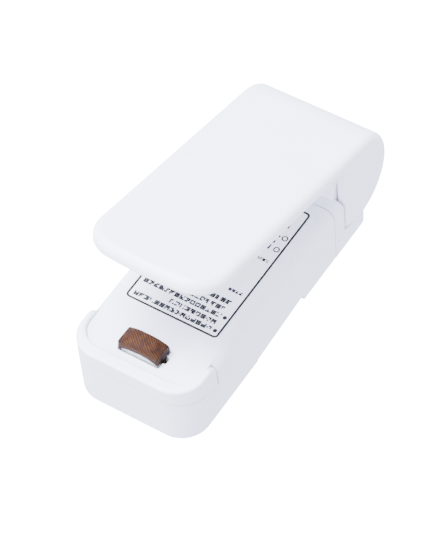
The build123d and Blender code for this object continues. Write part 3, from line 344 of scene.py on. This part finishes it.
# release tape: woven cloth laid over the heater's arched head, its ends folded down
tape = {
    "arch": 1.4 * mm,  # middle of the head above its two ends
    "archHalf": 5.7 * mm,
    "hem": 20.75 * mm,  # at the middle; the arch brings it down at both ends
    "shoulder": 1.4 * mm,  # rounding over the front and back of the head
    "endRound": 0.7 * mm,  # over the two ends
    "squareEnds": 0.6,  # how much flatter the shoulders are at the ends
    "cornerRound": 0.4 * mm,  # down its four corners
    "cloth": 0.22 * mm,
    "cuts": 16,  # rows of faces across the head
    "sag": 0.09 * mm,
    "wave": 2.4 * mm,
    "hemSway": 0.18 * mm,
    "hemWave": 1.7 * mm,
    "earHalf": 1.0 * mm,  # folded ear, half its width
    "earHeight": 2.3 * mm,
    "earBack": 0.2 * mm,  # behind the middle of the head
    "earReach": 0.36 * mm,
    "earTilt": 84.0,  # degrees
    "earMiddle": 20.35 * mm,
    "thread": 0.46,  # mm between threads; a little coarser than the real cloth's 0.4, so that it shows
    "threads": [(0.1, "#120803"), (0.45, "#311b0a"), (0.9, "#613b14")],
    "burns": [(0.3, "#8f7466"), (0.5, "#d6c4b4"), (0.7, "#fff6ea")],
    "burnSize": 1.8 * mm,
    "crossing": 0.28,  # how much the threads' crossings and the twill lines show
    "twill": 0.17,
    # painted shade: the span and share below darken the tape's two ends, which lie in shade
    "endShadeSpan": (5.3 * mm, 6.3 * mm, 0.35),  # from the middle: where the ends darken, and to what share
    "weaveDepth": 0.09 * mm,
    "roughness": (0.46, 0.64),
}


def wovenGlassCloth(settings):
    # glass cloth coated with PTFE: copper brown, twill lines on the slant and patchy burn stains, with
    # painted shade darkening its two ends
    material, tree = newMaterial("ptfeCoatedGlassCloth")
    cloth = addNode(tree, "ShaderNodeUVMap", {"uv_map": "cloth"})
    turns = 2 * math.pi / settings["thread"]
    waves = []
    for direction in ((turns, 0, 0), (0, turns, 0), (turns / 2, turns / 2, 0)):  # warp, weft and twill
        phase = addNode(tree, "ShaderNodeVectorMath", {"operation": "DOT_PRODUCT"},
                        {0: cloth, 1: direction}, output="Value")
        waves.append(addNode(tree, "ShaderNodeMath", {"operation": "SINE"}, {0: phase}))
    cross = addNode(tree, "ShaderNodeMath", {"operation": "MULTIPLY"}, {0: waves[0], 1: waves[1]})
    knots = addNode(tree, "ShaderNodeMath", {"operation": "MULTIPLY_ADD"},
                    {0: cross, 1: settings["crossing"], 2: 0.5})
    weave = addNode(tree, "ShaderNodeMath", {"operation": "MULTIPLY_ADD"},
                    {0: waves[2], 1: settings["twill"], 2: knots})
    place = addNode(tree, "ShaderNodeTexCoord", output="Object")
    stain = addNode(tree, "ShaderNodeTexNoise", inputs={
        "Vector": place, "Scale": 1 / settings["burnSize"], "Detail": noiseDetail})
    threads = addNode(tree, "ShaderNodeValToRGB", inputs={"Fac": weave}, stops=settings["threads"])
    burns = addNode(tree, "ShaderNodeValToRGB", inputs={"Fac": stain}, stops=settings["burns"])
    toned = addNode(tree, "ShaderNodeVectorMath", {"operation": "MULTIPLY"}, {0: threads, 1: burns})
    # painted shade: darker towards the two ends, which lie in shade
    across = addNode(tree, "ShaderNodeSeparateXYZ", inputs={"Vector": place}, output="X")
    outward = addNode(tree, "ShaderNodeMath", {"operation": "ABSOLUTE"}, {0: across})
    start, end, share = settings["endShadeSpan"]
    paintedEndShade = addNode(tree, "ShaderNodeMapRange", inputs={
        "Value": outward, "From Min": start, "From Max": end, "To Min": 1.0, "To Max": share})
    toned = addNode(tree, "ShaderNodeVectorMath", {"operation": "SCALE"}, {0: toned, "Scale": paintedEndShade})
    low, high = settings["roughness"]
    gloss = addNode(tree, "ShaderNodeMapRange", inputs={
        "Value": stain, "From Min": noiseLow, "From Max": noiseHigh, "To Min": low, "To Max": high})
    relief = addNode(tree, "ShaderNodeBump", inputs={"Height": weave, "Distance": settings["weaveDepth"]})
    shader = addNode(tree, "ShaderNodeBsdfPrincipled", inputs={
        "Base Color": toned, "Roughness": gloss, "Normal": relief, "IOR": 1.38,
        "Specular IOR Level": 0.2})
    addNode(tree, "ShaderNodeOutputMaterial", inputs={"Surface": shader})
    return material


def clothMap(bm, middle, top):
    # unrolls the cloth, in mm: across is u and along the body is v, and the sides carry on
    # over the shoulders
    layer = bm.loops.layers.uv.new("cloth")
    for face in bm.faces:
        endFace = abs(face.normal.x) > max(abs(face.normal.y), abs(face.normal.z))
        for loop in face.loops:
            at = loop.vert.co - middle
            drop = max(top - loop.vert.co.z, 0)
            u = at.x + (math.copysign(drop, at.x) if endFace else 0)
            v = at.y + (0 if endFace else math.copysign(drop, at.y))
            loop[layer].uv = (u / mm, v / mm)


def foldedTape(settings):
    low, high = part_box("release_tape")
    middle = Vector(((low.x + high.x) / 2, (low.y + high.y) / 2, 0))
    size = high - low
    size.z = high.z - settings["hem"]
    bm = bmesh.new()
    bmesh.ops.create_cube(bm, size=1)
    bmesh.ops.scale(bm, vec=size, verts=bm.verts)
    bmesh.ops.translate(bm, vec=(middle.x, middle.y, high.z - size.z / 2), verts=bm.verts)
    bm.normal_update()
    bmesh.ops.delete(bm, geom=[f for f in bm.faces if f.normal.z < -0.5], context="FACES_ONLY")
    near = 0.01 * mm
    ridges = [e for e in bm.edges if all(v.co.z > high.z - near for v in e.verts)
              and abs(e.verts[0].co.x - e.verts[1].co.x) > near]
    bmesh.ops.bevel(bm, geom=ridges, offset=settings["shoulder"], segments=5, profile=0.5,
                    affect="EDGES", material=-1)
    corners = [e for e in bm.edges if any(v.co.z < settings["hem"] + near for v in e.verts)
               and any(v.co.z > settings["hem"] + near for v in e.verts)]
    bmesh.ops.bevel(bm, geom=corners, offset=settings["cornerRound"], segments=3, profile=0.5,
                    affect="EDGES", material=-1, clamp_overlap=True)
    caps = [f for f in bm.faces if abs(f.normal.x) > 0.99]
    shoulderZ = high.z - settings["shoulder"]
    ends = [e for f in caps for e in f.edges if all(v.co.z > shoulderZ - near for v in e.verts)]
    bmesh.ops.bevel(bm, geom=ends, offset=settings["endRound"], segments=5, profile=0.5,
                    affect="EDGES", material=-1, clamp_overlap=True)
    flatHalf = size.x / 2 - settings["endRound"]
    for i in range(1, settings["cuts"]):
        at = middle.x - flatHalf + 2 * flatHalf * i / settings["cuts"]
        bmesh.ops.bisect_plane(bm, geom=bm.verts[:] + bm.edges[:] + bm.faces[:],
                               plane_co=(at, 0, 0), plane_no=(1, 0, 0))
    # the whole cloth follows the arch of the head, and its shoulders flatten towards the
    # head's square ends
    radius = (settings["archHalf"] ** 2 + settings["arch"] ** 2) / (2 * settings["arch"])
    for vert in bm.verts:
        x = vert.co.x - middle.x
        if vert.co.z > settings["hem"] + near:
            vert.co.z += (high.z - vert.co.z) * settings["squareEnds"] * (x / settings["archHalf"]) ** 2
        vert.co.z -= radius - math.sqrt(radius**2 - x**2)
    # a folded ear stands out at each end, narrow enough for the slot's ends
    for side in (-1, 1):
        ear = bmesh.ops.create_grid(bm, x_segments=3, y_segments=4, size=0.5)["verts"]
        bmesh.ops.scale(bm, vec=(settings["earHeight"], 2 * settings["earHalf"], 1), verts=ear)
        lean = Matrix.Rotation(math.radians(side * settings["earTilt"]), 3, "Y")
        bmesh.ops.rotate(bm, cent=(0, 0, 0), matrix=lean, verts=ear)
        reach = size.x / 2 + settings["earReach"] / 2
        foot = Vector((side * reach, settings["earBack"], settings["earMiddle"]))
        bmesh.ops.translate(bm, vec=middle + foot, verts=ear)
    bmesh.ops.remove_doubles(bm, verts=bm.verts, dist=0.002 * mm)
    bmesh.ops.recalc_face_normals(bm, faces=bm.faces)
    # the cloth lies a little slack: low waves over its face, and its hem isn't quite straight
    bm.normal_update()
    for vert in bm.verts:
        wave = noise.noise(vert.co / settings["wave"])
        vert.co -= vert.normal * settings["sag"] * (0.5 + wave)
        if vert.is_boundary:
            vert.co.z += settings["hemSway"] * noise.noise(vert.co / settings["hemWave"])
    bmesh.ops.smooth_vert(bm, verts=bm.verts, factor=0.3,
                          use_axis_x=True, use_axis_y=True, use_axis_z=True)
    clothMap(bm, middle, high.z)
    for face in bm.faces:
        face.smooth = True
    piece = keepPiece("releaseTape", bm, wovenGlassCloth(settings), "heater",
                      ["release_tape"])
    wall = piece.modifiers.new("cloth", "SOLIDIFY")
    wall.thickness = settings["cloth"]
    wall.offset = -1
    soft = piece.modifiers.new("soft", "SUBSURF")
    soft.levels = soft.render_levels = 1


foldedTape(tape)
print("release tape laid")


# label print: a ruled frame, greeked rows of marks, round bullets and a plain pair of cells
label = {
    "ink": 0.03 * mm,
    "inset": (0.35 * mm, 0.45 * mm),  # from the film's edge to the rule
    "rule": 0.62 * mm,
    "corner": 1.2 * mm,
    "pitch": 1.6 * mm,  # from mark to mark
    "mark": 1.46 * mm,
    "fill": (0.92, 0.62),  # chance that a mark's cell is inked, in dense marks and in light ones
    "bulletInset": 1.7 * mm,
    "textInset": 3.6 * mm,
    # paragraphs: distance behind the front rule in mm, whether it has a bullet, and how many marks
    "rows": [(2.1, True, 16), (4.4, False, 9), (6.8, True, 16), (9.1, False, 15), (11.5, False, 7)],
    "notes": [32.3, 36.5],
    "smallRows": [40.3, 42.5, 44.6],
    "leftMargin": 1.6 * mm,
    "bullet": 0.6 * mm,
    # the pair of cells: their middle behind the front rule, their outlines and their signs
    "cellsBack": 21.8 * mm, "cellsLeft": 1 * mm, "cellApart": 2.1 * mm,
    "cellLength": 15 * mm, "cellWidth": 3.2 * mm, "cellLine": 0.34 * mm, "cellCorner": 0.7 * mm,
    "nubOut": 7.9 * mm, "nubLength": 0.7 * mm, "sign": 1.3 * mm, "signOut": 5.6 * mm,
    "signArm": 0.46 * mm, "signArmOut": 0.43 * mm,
    "noteLine": 2.0,  # mm between a note's first row and its second
    "noteRing": 1.8 * mm, "noteRingIn": 1.9 * mm, "noteRingLine": 0.36 * mm, "noteRingCorner": 0.85 * mm,
    "seed": 11,
}


def addBar(bm, x, y, width, depth, z, thick):
    # one printed stroke, as thick as the ink
    bar = bmesh.ops.create_cube(bm, size=1)["verts"]
    bmesh.ops.scale(bm, vec=(width, depth, thick), verts=bar)
    bmesh.ops.translate(bm, vec=(x, y, z + thick / 2), verts=bar)


def addDot(bm, x, y, radius, z, thick):
    dot = bmesh.ops.create_cone(bm, cap_ends=True, segments=12, radius1=radius, radius2=radius,
                                depth=thick)["verts"]
    bmesh.ops.translate(bm, vec=(x, y, z + thick / 2), verts=dot)


def addRule(bm, x, y, width, depth, line, corner, z, thick):
    # a closed rule with rounded corners
    before = set(bm.verts)
    sheet = bmesh.ops.create_grid(bm, x_segments=1, y_segments=1, size=0.5)["verts"]
    bmesh.ops.scale(bm, vec=(width, depth, 1), verts=sheet)
    bmesh.ops.translate(bm, vec=(x, y, z), verts=sheet)
    bmesh.ops.bevel(bm, geom=sheet, offset=corner, segments=6, profile=0.5,
                    affect="VERTICES", material=-1)
    plate = [f for f in bm.faces if all(v not in before for v in f.verts)]
    bmesh.ops.inset_region(bm, faces=plate, thickness=line, use_boundary=True, use_even_offset=True)
    inner = [f for f in plate if f.is_valid]
    ring = [f for f in bm.faces if all(v not in before for v in f.verts) and f not in inner]
    bmesh.ops.delete(bm, geom=inner, context="FACES_ONLY")
    made = bmesh.ops.extrude_face_region(bm, geom=ring)["geom"]
    raised = [g for g in made if isinstance(g, bmesh.types.BMVert)]
    bmesh.ops.translate(bm, vec=(0, 0, thick), verts=raised)


def addMark(bm, x, y, size, fill, z, thick, rng):
    # one greeked mark: three broken strokes, from a three by three grid, that spell nothing
    step = size / 3
    for level in (-1, 0, 1):
        inked = [rng.random() < fill for _ in range(3)]
        start = 0
        while start < 3:
            end = start
            while end < 3 and inked[end]:
                end += 1
            if end > start:
                addBar(bm, x + ((start + end - 1) / 2 - 1) * step, y + level * step,
                       (end - start) * step - 0.04 * mm, step * 0.94, z, thick)
            start = end + 1


def printLabel(settings):
    low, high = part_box("instruction_label")
    z, thick = high.z - 0.005 * mm, settings["ink"]
    middle = (low + high) / 2
    width = high.x - low.x - 2 * settings["inset"][0]
    depth = high.y - low.y - 2 * settings["inset"][1]
    left, right = middle.x - width / 2, middle.x + width / 2
    front = middle.y - depth / 2
    rng = random.Random(settings["seed"])
    bm = bmesh.new()
    addRule(bm, middle.x, middle.y, width, depth, settings["rule"], settings["corner"], z, thick)

    def addRow(y, start, count, pitch=settings["pitch"], size=settings["mark"]):
        # marks run from the right edge to the left
        for i in range(count):
            x = right - start - i * pitch
            if x < left + settings["leftMargin"]:
                break
            addMark(bm, x, y, size, rng.choice(settings["fill"]), z, thick, rng)

    # two bulleted paragraphs at the front
    for at, bullet, count in settings["rows"]:
        if bullet:
            addDot(bm, right - settings["bulletInset"], front + at * mm, settings["bullet"], z, thick)
        addRow(front + at * mm, settings["textInset"], count)
    # the pair of cells, each with its two signs, and a caption row on each side
    cellsY, cellsX = front + settings["cellsBack"], middle.x - settings["cellsLeft"]
    thin, sign = settings["cellLine"], settings["sign"]
    for step in (-1, 1):
        y = cellsY + step * settings["cellApart"]
        addRule(bm, cellsX, y, settings["cellLength"], settings["cellWidth"], thin,
                settings["cellCorner"], z, thick)
        addBar(bm, cellsX + step * settings["nubOut"], y, settings["nubLength"], sign, z, thick)
        addBar(bm, cellsX + step * settings["signOut"], y, sign, thin, z, thick)
        for half in (-1, 1):
            addBar(bm, cellsX + step * settings["signOut"], y + half * settings["signArmOut"],
                   thin, settings["signArm"], z, thick)
        addBar(bm, cellsX - step * settings["signOut"], y, sign, thin, z, thick)
    addRow(front + 15.3 * mm, 2.2 * mm, 4, 1.1 * mm, 0.95 * mm)
    addRow(front + 27.8 * mm, 2.0 * mm, 5, 1.0 * mm, 0.9 * mm)
    # notes at the back, each behind an open round bullet
    for at in settings["notes"]:
        addRule(bm, right - settings["noteRingIn"], front + at * mm, settings["noteRing"],
                settings["noteRing"], settings["noteRingLine"], settings["noteRingCorner"], z, thick)
        addRow(front + at * mm, 4.1 * mm, 11, 1.85 * mm, 1.7 * mm)
        addRow(front + (at + settings["noteLine"]) * mm, 4.1 * mm, 9, 1.2 * mm, 1.0 * mm)
    for at in settings["smallRows"]:
        addRow(front + at * mm, 3.4 * mm, 18, 1.25 * mm, 1.1 * mm)
    keepPiece("labelPrint", bm, newFinish("screenPrintedInk", inkFinish), "body")


printLabel(label)
print("label printed")


# torsion spring round the hinge pin: one leg on the block, one under the lever
spring = {
    "radius": 3.2 * mm,
    "wire": 0.9 * mm,
    "pitch": 1.0 * mm,
    "startAngle": 185.0,  # degrees from straight up, turning towards the nose
    "endAngle": 305.5,
    "wholeTurns": 5,
    "lowLeg": 6.5 * mm,
    "highLeg": 12.05 * mm,
    "stepsPerTurn": 28,
}


def coilSpring(settings):
    low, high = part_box("hinge_pin")
    pivot = (low + high) / 2
    turns = settings["wholeTurns"] + (settings["endAngle"] - settings["startAngle"]) / 360
    steps = round(turns * settings["stepsPerTurn"])
    half = turns * settings["pitch"] / 2
    bm = bmesh.new()
    ring = bmesh.ops.create_circle(bm, cap_ends=False, segments=12,
                                   radius=settings["wire"] / 2)["verts"]
    bmesh.ops.rotate(bm, cent=(0, 0, 0), matrix=Matrix.Rotation(math.pi / 2, 3, "X"), verts=ring)
    bmesh.ops.translate(bm, vec=(-half, pivot.y, pivot.z + settings["radius"]), verts=ring)
    # Y is the wire's own direction at the top of the coil; the wire starts at startAngle
    turnIn = Matrix.Rotation(math.radians(settings["startAngle"]), 3, "X")
    bmesh.ops.rotate(bm, cent=pivot, matrix=turnIn, verts=ring)
    startLoop = [e for e in bm.edges]
    made = bmesh.ops.spin(bm, geom=startLoop, cent=pivot, axis=(1, 0, 0), dvec=(2 * half / steps, 0, 0),
                          angle=math.radians(360 * turns), steps=steps, use_duplicate=False)["geom_last"]
    endLoop = [g for g in made if isinstance(g, bmesh.types.BMEdge)]

    def addLeg(loop, angle, length, way):
        # the leg leaves along the wire, square to the coil's radius there
        a = math.radians(angle)
        along = Vector((0, -math.cos(a), -math.sin(a))) * way
        out = bmesh.ops.extrude_edge_only(bm, edges=loop)["geom"]
        tip = [g for g in out if isinstance(g, bmesh.types.BMVert)]
        bmesh.ops.translate(bm, vec=along * length, verts=tip)
        bmesh.ops.contextual_create(bm, geom=[g for g in out if isinstance(g, bmesh.types.BMEdge)
                                              and g.is_boundary])

    addLeg(startLoop, settings["startAngle"], settings["lowLeg"], -1)
    addLeg(endLoop, settings["endAngle"], settings["highLeg"], 1)
    bmesh.ops.remove_doubles(bm, verts=bm.verts, dist=0.001 * mm)
    bmesh.ops.recalc_face_normals(bm, faces=bm.faces)
    for face in bm.faces:
        face.smooth = len(face.verts) == 4
    piece = keepPiece("hingeSpring", bm, springSteel, None, ["torsion_spring"])
    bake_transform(piece)


coilSpring(spring)
print("hinge spring wound")
